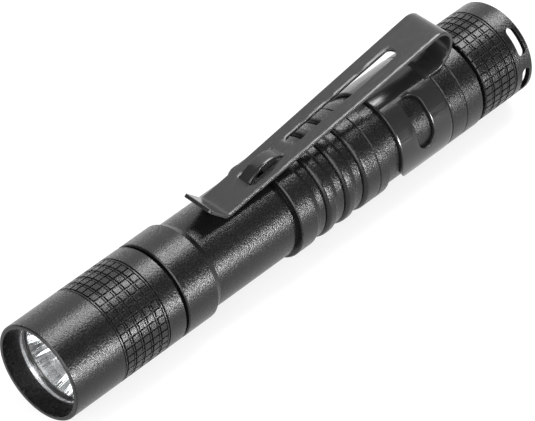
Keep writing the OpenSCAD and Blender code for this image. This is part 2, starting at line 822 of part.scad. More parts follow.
module led_package() {
    color("#efece2")
        on_axis()
            translate([insulator_s, -led_side / 2, -led_side / 2])
                cube([led_t, led_side, led_side]);
}

module led_dome() {
    color("#f2d96a")
        on_axis()
            intersection() {
                translate([insulator_s + led_t, 0, 0])
                    sphere(d = led_dome_d);
                translate([insulator_s + led_t, -led_dome_d, -led_dome_d])
                    cube(2 * led_dome_d);
            }
}

module insulator_ring() {
    color("#f4f4f0")
        ring(hole_r, boss_r, insulator_s, reflector_s);
}

module reflector() {
    rear = [hole_r, reflector_s];
    front = [reflector_mouth_r, gasket_s];
    middle_r = sqrt((rear[0] * rear[0] + front[0] * front[0]) / 2);
    centre = circle_centre(rear, [middle_r, (reflector_s + gasket_s) / 2], front);
    flange = 2 * reflector_edge;
    color("#d9dbde")
        on_axis()
            rotate([0, 90, 0])
                rotate_extrude()
                    difference() {
                        polygon([
                            [0, reflector_s], [boss_r, reflector_s], [seat_r, gasket_s - flange],
                            [seat_r, gasket_s], [0, gasket_s]
                        ]);
                        translate(centre)
                            circle(norm(rear - centre), $fn = 180);
                    }
}

module lens_gasket() {
    color("#161616")
        ring(reflector_mouth_r, seat_r, gasket_s, lens_s);
}

module lens() {
    color("#dfe7ea", 0.4)
        ring(0, seat_r, lens_s, lens_ring_s);
}

module lens_ring() {
    color("#b9bbbe")
        ring(seat_r - lens_ring_w, seat_r, lens_ring_s, cup_s);
}

module head_shell() {
    color("#1d1d1f")
        difference() {
            turned(concat(
                [[land_r, head_s], [body_r - edge, head_s], [body_r, head_s + edge]],
                ring_grooves(head_knurl_s, head_rows + 1, body_r),
                [
                    [body_r, total_len - edge], [body_r - edge, total_len], [mouth_r, total_len],
                    [chamber_r, cup_s], [chamber_r, led_board_s], [boss_r + fit_clear, led_board_s],
                    [boss_r + fit_clear, pill_front_s], [thread_bore_r, pill_front_s],
                    [thread_bore_r, head_land_end_s], [land_r, head_land_end_s]
                ]
            ));
            knurl_slots(
                head_knurl_s + knurl_inset, head_knurl_s + head_rows * knurl_pitch - knurl_inset, body_r
            );
        }
}

tail_cap();
push_button();
spacer_ring();
switch_board();
switch_ring();
switch_body();
switch_plunger();
tail_spring();
body_tube();
tail_o_ring();
head_o_ring();
battery_can();
battery_cap();
battery_seal();
pocket_clip();
contact_spring();
driver_board();
driver_parts();
led_pill();
led_board();
led_package();
led_dome();
insulator_ring();
reflector();
lens_gasket();
lens();
lens_ring();
head_shell();
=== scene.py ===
"""Looks of the penlight: its finishes, its sheet metal clip, the camera, the lights and the floor."""

import logging
import math
from collections.abc import Callable, Iterable
from dataclasses import dataclass, replace
from enum import Enum

import bmesh
import bpy
from mathutils import Matrix, Vector
from mathutils.geometry import delaunay_2d_cdt


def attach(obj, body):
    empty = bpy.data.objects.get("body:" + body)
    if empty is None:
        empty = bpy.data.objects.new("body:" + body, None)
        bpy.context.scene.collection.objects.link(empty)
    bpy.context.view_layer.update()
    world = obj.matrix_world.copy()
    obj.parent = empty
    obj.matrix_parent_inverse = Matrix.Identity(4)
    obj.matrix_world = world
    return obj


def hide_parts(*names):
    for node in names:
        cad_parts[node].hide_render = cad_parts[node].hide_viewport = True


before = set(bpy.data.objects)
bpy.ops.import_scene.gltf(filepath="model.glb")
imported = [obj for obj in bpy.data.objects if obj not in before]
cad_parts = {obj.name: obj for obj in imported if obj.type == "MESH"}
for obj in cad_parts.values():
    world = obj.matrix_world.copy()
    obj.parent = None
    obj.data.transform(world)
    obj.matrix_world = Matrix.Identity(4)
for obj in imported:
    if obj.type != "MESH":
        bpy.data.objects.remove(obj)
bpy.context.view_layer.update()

LOG = logging.getLogger("penlight")
MM = 0.001
# Half the light's length and the height of its axis over the floor, in millimetres
HALF_LENGTH = 43.05
AXIS_HEIGHT = 7.0
# The middle of the light's axis, in metres, and what keeps only the part of a direction across the axis
AXIS_MIDDLE = (0.0, 0.0, AXIS_HEIGHT * MM)
ACROSS_AXIS = (0.0, 1.0, 1.0)
# Watts that a lamp takes for each square metre of its face and each unit of radiance
WATTS_PER_RADIANCE = 4.0
# A quarter turn, in degrees
QUARTER = 90
# Steps round a sheet's cut edge: an angle in degrees from one of its faces, and which face that is
RIM_STEPS = ((45, 1), (90, 1), (90, -1), (45, -1))
# Socket types of the shared effects
VALUE, DIRECTION = "NodeSocketFloat", "NodeSocketVector"

Colour = tuple[float, float, float]
Triple = tuple[float, float, float]
Point = tuple[float, float]
Loop = list[Point]
Place = Callable[[float, float, float], Vector]
Socket = bpy.types.NodeSocket
Feed = float | Socket
Tint = tuple[float, ...] | Socket


def on_light(station: float, across: float, over_axis: float) -> Vector:
    """Turn a place on the light into the shared frame.

    Args:
        station: Distance from the tail end, in millimetres.
        across: Distance to the side, in millimetres.
        over_axis: Height over the light's axis, in millimetres.

    Returns:
        The point in metres.
    """
    return Vector((station - HALF_LENGTH, across, AXIS_HEIGHT + over_axis)) * MM


def put(name: str, data: bpy.types.ID) -> bpy.types.Object:
    """Make an object in the scene.

    Args:
        name: Its name.
        data: Its mesh, lamp or camera.

    Returns:
        The new object.
    """
    made = bpy.data.objects.new(name, data)
    bpy.context.scene.collection.objects.link(made)
    return made


def mesh_from(bm: bmesh.types.BMesh, name: str) -> bpy.types.Mesh:
    """Finish a mesh that was being made.

    Args:
        bm: The mesh in the making, which is freed.
        name: Its name.

    Returns:
        The finished mesh.
    """
    mesh = bpy.data.meshes.new(name)
    bm.to_mesh(mesh)
    bm.free()
    return mesh


class Wiring:
    """Adds nodes to one node tree and links them."""

    def __init__(self, tree: bpy.types.NodeTree) -> None:
        """Take the tree that the nodes go in."""
        self.tree = tree

    @classmethod
    def fresh(cls, owner: bpy.types.Material | bpy.types.World) -> "Wiring":
        """Empty the nodes of a material or a world.

        Args:
            owner: The material or the world.

        Returns:
            Its wiring.
        """
        owner.use_nodes = True
        owner.node_tree.nodes.clear()
        return cls(owner.node_tree)

    def add(self, kind: str, inputs: dict | None = None, **settings: object) -> bpy.types.Node:
        """Add one node.

        Args:
            kind: Blender's name of the node's type.
            inputs: Socket name or number, with the value or the socket that feeds it.
            **settings: Properties of the node itself.

        Returns:
            The new node.
        """
        node = self.tree.nodes.new(kind)
        for label, value in settings.items():
            setattr(node, label, value)
        for label, value in (inputs or {}).items():
            if isinstance(value, Socket):
                self.tree.links.new(value, node.inputs[label])
            else:
                node.inputs[label].default_value = value
        return node

    def link(self, source: Socket, node: bpy.types.Node, label: str) -> None:
        """Feed a named input of a node."""
        self.tree.links.new(source, node.inputs[label])

    def place(self) -> Socket:
        """Return where a point of the surface lies in the shared frame."""
        return self.add("ShaderNodeTexCoord").outputs["Object"]

    def math(self, operation: str, first: Feed, second: Feed) -> Socket:
        """Return the result of one sum on two values or sockets."""
        return self.add("ShaderNodeMath", {0: first, 1: second}, operation=operation).outputs[0]

    def vector(self, operation: str, first: Socket, second: Triple | Socket = (0.0, 0.0, 0.0)) -> Socket:
        """Return the direction or place that one sum on two of them gives."""
        return self.add("ShaderNodeVectorMath", {0: first, 1: second}, operation=operation).outputs[0]

    def noise(self, place: Socket, scale: Feed, detail: float, roughness: float = 0.5) -> Socket:
        """Return smooth noise over a place."""
        inputs = {"Vector": place, "Scale": scale, "Detail": detail, "Roughness": roughness}
        return self.add("ShaderNodeTexNoise", inputs).outputs[0]

    def between(self, share: Socket, low: float, high: float) -> Socket:
        """Return the value that lies a share from 0 to 1 of the way between two values."""
        return self.add("ShaderNodeMapRange", {"Value": share, "To Min": low, "To Max": high}).outputs[0]

    def spread(self, value: Socket, ends: Point) -> Socket:
        """Return a value spread out, so that its lower end becomes 0 and its upper end 1."""
        inputs = {"Value": value, "From Min": ends[0], "From Max": ends[1]}
        return self.add("ShaderNodeMapRange", inputs).outputs[0]

    def blend(self, share: Socket, first: Tint, second: Tint) -> Socket:
        """Return the colour that lies a share of the way between two colours."""
        return self.add("ShaderNodeMix", {0: share, 6: first, 7: second}, data_type="RGBA").outputs[2]


class Effect(Enum):
    """The surface effects that several finishes share."""

    GRAIN = "fine_grain"
    TURNING = "turning_marks"
    # Scuffed edges, lighter in colour: partly real scuffing, partly a painted highlight along the edges
    WEAR = "edge_wear"


class EffectGroups:
    """Builds each shared effect once, as a shader node group."""

    grain_detail: float = 1.0
    grain_roughness: float = 0.6
    speck_ends: Point = (0.3, 0.7)
    cloud_detail: float = 3.0
    wander_scale: float = 300.0
    wander_detail: float = 1.0
    ring_detail: float = 2.0
    edge_rays: int = 4
    edge_gain: float = 6.0
    spot_detail: float = 3.0
    broken_ends: Point = (0.35, 0.65)
    proud_ends: Point = (0.6, 0.85)

    def __init__(self) -> None:
        """Build the groups."""
        self.trees = {
            Effect.GRAIN: self._grain(),
            Effect.TURNING: self._turning(),
            Effect.WEAR: self._wear(),
        }

    def place(self, wiring: Wiring, effect: Effect, **values: float) -> bpy.types.Node:
        """Put an effect in a material.

        Args:
            wiring: The material's nodes.
            effect: Which effect.
            **values: Its inputs, with underscores for spaces.

        Returns:
            The group node.
        """
        node = wiring.add("ShaderNodeGroup", node_tree=self.trees[effect])
        for label, value in values.items():
            node.inputs[label.replace("_", " ")].default_value = value
        return node

    @staticmethod
    def _start(
        effect: Effect, inputs: dict[str, float], outputs: dict[str, str]
    ) -> tuple[Wiring, bpy.types.Node, bpy.types.Node]:
        """Make an empty group.

        Args:
            effect: The effect that it is for.
            inputs: Names of its inputs, with their usual values.
            outputs: Names of its outputs, with the types of their sockets.

        Returns:
            Its wiring, its input node and its output node.
        """
        tree = bpy.data.node_groups.new(effect.value, "ShaderNodeTree")
        for label, value in inputs.items():
            tree.interface.new_socket(label, in_out="INPUT", socket_type=VALUE).default_value = value
        for label, kind in outputs.items():
            tree.interface.new_socket(label, in_out="OUTPUT", socket_type=kind)
        wiring = Wiring(tree)
        return wiring, wiring.add("NodeGroupInput"), wiring.add("NodeGroupOutput")

    def _grain(self) -> bpy.types.NodeTree:
        """Make fine grain, which may be drawn out along the light, and slow clouds of tone.

        Returns:
            The group.
        """
        wiring, given, out = self._start(
            Effect.GRAIN, {"Scale": 6000.0, "Stretch": 1.0, "Cloud Scale": 250.0},
            {"Height": VALUE, "Speck": VALUE, "Cloud": VALUE},
        )
        place = wiring.place()
        along = wiring.add("ShaderNodeCombineXYZ", {0: given.outputs["Stretch"], 1: 1.0, 2: 1.0}).outputs[0]
        drawn = wiring.vector("MULTIPLY", place, along)
        fine = wiring.noise(drawn, given.outputs["Scale"], self.grain_detail, self.grain_roughness)
        wiring.link(fine, out, "Height")
        wiring.link(wiring.spread(fine, self.speck_ends), out, "Speck")
        wiring.link(wiring.noise(place, given.outputs["Cloud Scale"], self.cloud_detail), out, "Cloud")
        return wiring.tree

    def _turning(self) -> bpy.types.NodeTree:
        """Make the rings that a lathe tool leaves round the light's axis.

        Returns:
            The group.
        """
        wiring, given, out = self._start(Effect.TURNING, {"Rings": 9000.0, "Wander": 0.4}, {"Height": VALUE})
        place = wiring.place()
        along = wiring.add("ShaderNodeSeparateXYZ", {0: place}).outputs["X"]
        slow = wiring.noise(place, self.wander_scale, self.wander_detail)
        count = wiring.math("MULTIPLY", along, given.outputs["Rings"])
        turn = wiring.math("ADD", count, wiring.math("MULTIPLY", slow, given.outputs["Wander"]))
        rings = wiring.add(
            "ShaderNodeTexNoise", {"W": turn, "Scale": 1.0, "Detail": self.ring_detail},
            noise_dimensions="1D",
        )
        wiring.link(rings.outputs[0], out, "Height")
        return wiring.tree

    def _wear(self) -> bpy.types.NodeTree:
        """Make a mask of the sharp edges that stand proud, which are scuffed and also get a painted
        highlight, and normals that round all edges.

        Returns:
            The group.
        """
        wiring, given, out = self._start(
            Effect.WEAR, {"Radius": 0.0001, "Reach": 0.0005, "Break Up": 2500.0},
            {"Mask": VALUE, "Normal": DIRECTION},
        )
        rounded = wiring.add(
            "ShaderNodeBevel", {"Radius": given.outputs["Radius"]}, samples=self.edge_rays
        ).outputs[0]
        normal = wiring.add("ShaderNodeNewGeometry").outputs["Normal"]
        same = wiring.add("ShaderNodeVectorMath", {0: rounded, 1: normal}, operation="DOT_PRODUCT")
        sharp = wiring.math("MULTIPLY", wiring.math("SUBTRACT", 1.0, same.outputs["Value"]), self.edge_gain)
        spots = wiring.noise(wiring.place(), given.outputs["Break Up"], self.spot_detail)
        free = wiring.add(
            "ShaderNodeAmbientOcclusion", {"Distance": given.outputs["Reach"]},
            samples=self.edge_rays, only_local=True,
        ).outputs["AO"]
        broken = wiring.math("MULTIPLY", sharp, wiring.spread(spots, self.broken_ends))
        rubbed_and_glinting = wiring.math("MULTIPLY", broken, wiring.spread(free, self.proud_ends))
        wiring.link(wiring.add("ShaderNodeClamp", {0: rubbed_and_glinting}).outputs[0], out, "Mask")
        wiring.link(rounded, out, "Normal")
        return wiring.tree


@dataclass(frozen=True)
class Finish:
    """One finish of the light: its colour, its gloss, its relief and its scuffed edges, whose lighter colour
    is partly a painted highlight.

    Scales are counts per metre, and spreads are half the range that a value varies over.
    """

    slot: str
    colour: Colour
    roughness: float
    roughness_spread: float = 0.06
    tone_spread: float = 0.2
    metallic: float = 0.0
    specular: float = 0.5
    grain_scale: float = 5000.0
    grain_stretch: float = 1.0
    grain_depth: float = 0.3
    grain_height_mm: float = 0.02
    turning: float = 0.0
    rings_per_metre: float = 9000.0
    cloud_scale: float = 250.0
    # Scuffed edges: how strongly, in what colour and how round; the lighter colour is partly a painted
    # highlight
    wear: float = 0.0
    wear_and_glint_colour: Colour = (0.3, 0.3, 0.3)
    wear_and_glint_radius_mm: float = 0.1

    def material(self, groups: EffectGroups) -> bpy.types.Material:
        """Build the finish.

        Args:
            groups: The shared effects.

        Returns:
            The new material.
        """
        made = bpy.data.materials.new(self.slot)
        wiring = Wiring.fresh(made)
        shader = wiring.add("ShaderNodeBsdfPrincipled")
        out = wiring.add("ShaderNodeOutputMaterial", {"Surface": shader.outputs[0]})
        out.is_active_output = True
        grain = groups.place(
            wiring, Effect.GRAIN,
            Scale=self.grain_scale, Stretch=self.grain_stretch, Cloud_Scale=self.cloud_scale,
        ).outputs
        height = grain["Height"]
        if self.turning:
            rings = groups.place(wiring, Effect.TURNING, Rings=self.rings_per_metre)
            turned = wiring.math("MULTIPLY", rings.outputs["Height"], self.turning)
            height = wiring.math("ADD", height, turned)
        height = self.add_form(wiring, height)
        relief = {"Strength": self.grain_depth, "Distance": self.grain_height_mm * MM, "Height": height}
        darkest, lightest = self.shade(1 - self.tone_spread), self.shade(1 + self.tone_spread)
        tone = wiring.blend(grain["Cloud"], darkest, lightest)
        # Lightens the proud edges: partly scuffed metal, partly a painted highlight
        if self.wear:
            worn_and_glinting = groups.place(wiring, Effect.WEAR, Radius=self.wear_and_glint_radius_mm * MM)
            mask = wiring.math("MULTIPLY", worn_and_glinting.outputs["Mask"], self.wear)
            tone = wiring.blend(mask, tone, (*self.wear_and_glint_colour, 1.0))
            relief["Normal"] = worn_and_glinting.outputs["Normal"]
        smoothest, roughest = self.roughness - self.roughness_spread, self.roughness + self.roughness_spread
        wiring.link(tone, shader, "Base Color")
        wiring.link(wiring.between(grain["Speck"], smoothest, roughest), shader, "Roughness")
        wiring.link(wiring.add("ShaderNodeBump", relief).outputs[0], shader, "Normal")
        shader.inputs["Metallic"].default_value = self.metallic
        shader.inputs["Specular IOR Level"].default_value = self.specular
        self.finish_shader(wiring, shader)
        return made

    def shade(self, share: float) -> tuple[float, ...]:
        """Return the finish's colour, made darker or lighter."""
        return (*(c * share for c in self.colour), 1.0)

    def add_form(self, wiring: Wiring, height: Socket) -> Socket:
        """Return the relief as it is; finishes with a form of their own add it."""
        return height

    def finish_shader(self, wiring: Wiring, shader: bpy.types.Node) -> None:
        """Leave the shader as it is; clear finishes add to it."""


@dataclass(frozen=True)
class BowlFinish(Finish):
    """A plated bowl round the light's axis, with slight flutes that draw out what it mirrors."""

    flutes: float = 3.6
    flute_detail: float = 2.0
    grain_share: float = 0.008

    def add_form(self, wiring: Wiring, height: Socket) -> Socket:
        """Make a relief of uneven flutes that run from the middle of the bowl to its rim.

        Args:
            wiring: The material's nodes.
            height: The relief of the grain.

        Returns:
            The relief of both.
        """
        away = wiring.vector("SUBTRACT", wiring.place(), AXIS_MIDDLE)
        turn = wiring.vector("NORMALIZE", wiring.vector("MULTIPLY", away, ACROSS_AXIS))
        flutes = wiring.noise(turn, self.flutes, self.flute_detail)
        return wiring.math("ADD", flutes, wiring.math("MULTIPLY", height, self.grain_share))


@dataclass(frozen=True)
class ClearFinish(Finish):
    """A clear finish, which bends what is seen through it and casts no shadow."""

    index: float = 1.5

    def finish_shader(self, wiring: Wiring, shader: bpy.types.Node) -> None:
        """Make the material clear, and let the lamps shine through it.

        Args:
            wiring: The material's nodes.
            shader: Its shader.
        """
        shader.inputs["Transmission Weight"].default_value = 1.0
        shader.inputs["IOR"].default_value = self.index
        shade = wiring.add("ShaderNodeLightPath").outputs["Is Shadow Ray"]
        wiring.link(wiring.between(shade, 1.0, 0.0), shader, "Alpha")


FINISHES = (
    Finish(
        "black_aluminium", (0.004, 0.004, 0.0041), 0.29, roughness_spread=0.1, specular=0.29,
        grain_scale=4000.0, grain_stretch=1.6, grain_depth=1.0, grain_height_mm=0.035, turning=0.3,
        # Edge colour: partly scuffed anodising, partly a painted highlight
        wear=0.4, wear_and_glint_colour=(0.16, 0.16, 0.162), wear_and_glint_radius_mm=0.06,
    ),
    Finish(
        "clip_steel", (0.011, 0.011, 0.0112), 0.2, roughness_spread=0.05, specular=0.4, tone_spread=0.08,
        grain_scale=5200.0, grain_stretch=0.06, grain_depth=0.5, cloud_scale=120.0,
        # Edge colour: partly scuffed steel, partly a painted highlight
        wear=0.4, wear_and_glint_colour=(0.26, 0.26, 0.26), wear_and_glint_radius_mm=0.07,
    ),
    Finish("button_rubber", (0.02, 0.02, 0.02), 0.75, grain_scale=4000.0, grain_depth=0.4),
    Finish("seal_rubber", (0.012, 0.012, 0.012), 0.6, grain_scale=7000.0, grain_depth=0.2),
    Finish("spacer_plastic", (0.78, 0.76, 0.7), 0.5, tone_spread=0.05, grain_depth=0.15),
    Finish("switch_plastic", (0.04, 0.04, 0.042), 0.5, grain_depth=0.2),
    Finish("plunger_plastic", (0.85, 0.83, 0.78), 0.3, tone_spread=0.04, grain_depth=0.08),
    Finish("circuit_board", (0.02, 0.11, 0.05), 0.35, grain_scale=9000.0, grain_depth=0.2),
    Finish("board_parts", (0.03, 0.03, 0.035), 0.45, grain_depth=0.2),
    Finish(
        "turned_brass", (0.62, 0.45, 0.17), 0.3, metallic=1.0, tone_spread=0.1, turning=1.0, grain_depth=0.12
    ),
    Finish("spring_steel", (0.6, 0.6, 0.62), 0.28, metallic=1.0, tone_spread=0.1, grain_depth=0.1),
    Finish("gilt_spring", (0.72, 0.55, 0.25), 0.25, metallic=1.0, tone_spread=0.1, grain_depth=0.1),
    Finish(
        "cell_can", (0.3, 0.31, 0.33), 0.35, metallic=1.0, tone_spread=0.1,
        grain_stretch=0.05, grain_depth=0.12,
    ),
    Finish(
        "cell_terminal", (0.68, 0.69, 0.7), 0.25, metallic=1.0, tone_spread=0.08, turning=0.6, grain_depth=0.1
    ),
    Finish("cell_seal", (0.12, 0.3, 0.4), 0.45, grain_depth=0.15),
    Finish("led_board_white", (0.74, 0.74, 0.71), 0.4, tone_spread=0.05, grain_depth=0.12),
    Finish("led_ceramic", (0.82, 0.81, 0.76), 0.5, tone_spread=0.05, grain_scale=9000.0, grain_depth=0.15),
    Finish("led_phosphor", (0.8, 0.7, 0.36), 0.18, tone_spread=0.1, grain_scale=9000.0, grain_depth=0.1),
    BowlFinish(
        "reflector_chrome", (0.92, 0.93, 0.94), 0.15, roughness_spread=0.04, metallic=1.0, tone_spread=0.05,
        grain_scale=1500.0, grain_depth=1.0, grain_height_mm=0.65,
    ),
    ClearFinish(
        "lens_glass", (0.97, 0.98, 0.98), 0.02, roughness_spread=0.01, tone_spread=0.01, grain_scale=900.0,
        grain_depth=0.01,
    ),
    Finish(
        "lens_ring_metal", (0.7, 0.7, 0.71), 0.2, metallic=1.0, tone_spread=0.08, turning=0.8, grain_depth=0.1
    ),
)


@dataclass(frozen=True)
class Assembly:
    """A set of CAD nodes that belong together, with the finish of each."""

    name: str
    finishes: dict[str, str]

    def dress(self, materials: dict[str, bpy.types.Material]) -> None:
        """Give each node its finish.

        Args:
            materials: The finishes by the name of their slot.
        """
        for node, slot in self.finishes.items():
            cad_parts[node].material_slots[0].material = materials[slot]
            LOG.info("%s: %s has %s", self.name, node, slot)


ASSEMBLIES = (
    Assembly("barrel", {
        "body_tube": "black_aluminium", "tail_o_ring": "seal_rubber", "head_o_ring": "seal_rubber",
    }),
    Assembly("cell", {
        "battery_can": "cell_can", "battery_cap": "cell_terminal", "battery_seal": "cell_seal",
    }),
    Assembly("tail", {
        "tail_cap": "black_aluminium", "push_button": "button_rubber", "spacer_ring": "spacer_plastic",
        "switch_board": "circuit_board", "switch_ring": "turned_brass", "switch_body": "switch_plastic",
        "switch_plunger": "plunger_plastic", "tail_spring": "spring_steel",
    }),
    Assembly("head", {
        "head_shell": "black_aluminium", "lens_ring": "lens_ring_metal", "lens": "lens_glass",
        "lens_gasket": "seal_rubber", "reflector": "reflector_chrome", "insulator_ring": "spacer_plastic",
        "led_package": "led_ceramic", "led_dome": "led_phosphor", "led_board": "led_board_white",
        "led_pill": "turned_brass", "driver_board": "circuit_board", "driver_parts": "board_parts",
        "contact_spring": "gilt_spring",
    }),
)


@dataclass(frozen=True)
class Sheet:
    """A cut sheet that is bent into place, with rounded edges. Sizes are in millimetres."""

    thickness: float
    rim: float
    least_room: float = 0.14
    least_slant: float = 0.4
    weld: float = 1e-6

    def add(self, bm: bmesh.types.BMesh, loops: list[Loop], inner: Iterable[Point], place: Place) -> None:
        """Add the bent sheet to a mesh.

        Args:
            bm: The mesh that it goes in.
            loops: The outline, counter-clockwise, and then the holes, clockwise.
            inner: Points inside the outline that let the sheet bend.
            place: Turns a point of the flat sheet and a height over its middle into a place.
        """
        pulled = [self.offset(loop, self.rim) for loop in loops]
        flat = [p for loop in pulled for p in loop]
        edges, first = [], 0
        for loop in pulled:
            edges += [(first + i, first + (i + 1) % len(loop)) for i in range(len(loop))]
            first += len(loop)
        flat += [p for p in inner if self.inside(p, pulled) and self.room(p, pulled) > self.least_room]
        verts, _, faces, origins, _, _ = delaunay_2d_cdt([Vector(p) for p in flat], edges, [], 0, self.weld)
        half = self.thickness / 2
        top = [bm.verts.new(place(v.x, v.y, half)) for v in verts]
        low = [bm.verts.new(place(v.x, v.y, -half)) for v in verts]
        for face in faces:
            middle = sum((verts[i] for i in face), Vector((0.0, 0.0))) / len(face)
            if self.inside((middle.x, middle.y), pulled):
                bm.faces.new([top[i] for i in face])
                bm.faces.new([low[i] for i in reversed(face)])
        found = {origin: i for i, many in enumerate(origins) for origin in many}
        first = 0
        for loop in loops:
            here = [found[first + i] for i in range(len(loop))]
            self._add_rim(bm, loop, [top[i] for i in here], [low[i] for i in here], place)
            first += len(loop)

    def _add_rim(
        self, bm: bmesh.types.BMesh, loop: Loop, top: list[bmesh.types.BMVert], low: list[bmesh.types.BMVert],
        place: Place,
    ) -> None:
        """Close the sheet along one loop with a rounded edge.

        Args:
            bm: The mesh that it goes in.
            loop: The cut line on the flat sheet.
            top: The points along it on the upper face.
            low: The points along it on the lower face.
            place: Turns a point of the flat sheet and a height over its middle into a place.
        """
        rings = [top]
        for angle, side in RIM_STEPS:
            turn = math.radians(angle)
            line = self.offset(loop, self.rim * (1 - math.sin(turn)))
            height = side * (self.thickness / 2 - self.rim * (1 - math.cos(turn)))
            rings.append([bm.verts.new(place(u, v, height)) for u, v in line])
        rings.append(low)
        for upper, lower in zip(rings, rings[1:]):
            for i in range(len(loop)):
                j = (i + 1) % len(loop)
                bm.faces.new([upper[j], upper[i], lower[i], lower[j]])

    def offset(self, loop: Loop, distance: float) -> Loop:
        """Pull a loop into the sheet, to its left.

        Args:
            loop: The loop.
            distance: How far it is pulled.

        Returns:
            The pulled loop.
        """
        moved = []
        for i, here in enumerate(loop):
            p, before, after = Vector(here), Vector(loop[i - 1]), Vector(loop[(i + 1) % len(loop)])
            a, b = (p - before).normalized(), (after - p).normalized()
            left = (Vector((-a.y, a.x)) + Vector((-b.y, b.x))).normalized()
            slant = max(self.least_slant, left.dot(Vector((-b.y, b.x))))
            moved.append(tuple(p + left * distance / slant))
        return moved

    @staticmethod
    def inside(p: Point, loops: list[Loop]) -> bool:
        """Find out whether a point lies in the outline and in none of the holes.

        Args:
            p: The point.
            loops: The outline and the holes.

        Returns:
            Whether it lies on the sheet.
        """
        crossings = 0
        for loop in loops:
            for (x0, y0), (x1, y1) in zip(loop, loop[1:] + loop[:1]):
                if (y0 > p[1]) != (y1 > p[1]) and p[0] < x0 + (x1 - x0) * (p[1] - y0) / (y1 - y0):
                    crossings += 1
        return crossings % 2 == 1

    @staticmethod
    def room(p: Point, loops: list[Loop]) -> float:
        """Measure how far a point is from the cut lines.

        Args:
            p: The point.
            loops: The outline and the holes.

        Returns:
            The distance to the nearest side of a loop.
        """
        least = math.inf
        for loop in loops:
            for a, b in zip(loop, loop[1:] + loop[:1]):
                side, away = Vector(b) - Vector(a), Vector(p) - Vector(a)
                share = max(0.0, min(1.0, away.dot(side) / side.length_squared))
                least = min(least, (away - side * share).length)
        return least


@dataclass(frozen=True)
class Station:
    """One place along the clip's strip, in millimetres: where it is and how the strip lies there.

    The strip follows the body's roundness by a share from 0 to 1 and has a share of its thickness. The run is
    how far along the strip the place is.
    """

    along: float
    over_axis: float
    angle: float
    half_width: float
    follow: float = 0.0
    share: float = 1.0
    run: float = 0.0

    @property
    def place(self) -> Point:
        """Where it is, seen from the side."""
        return self.along, self.over_axis


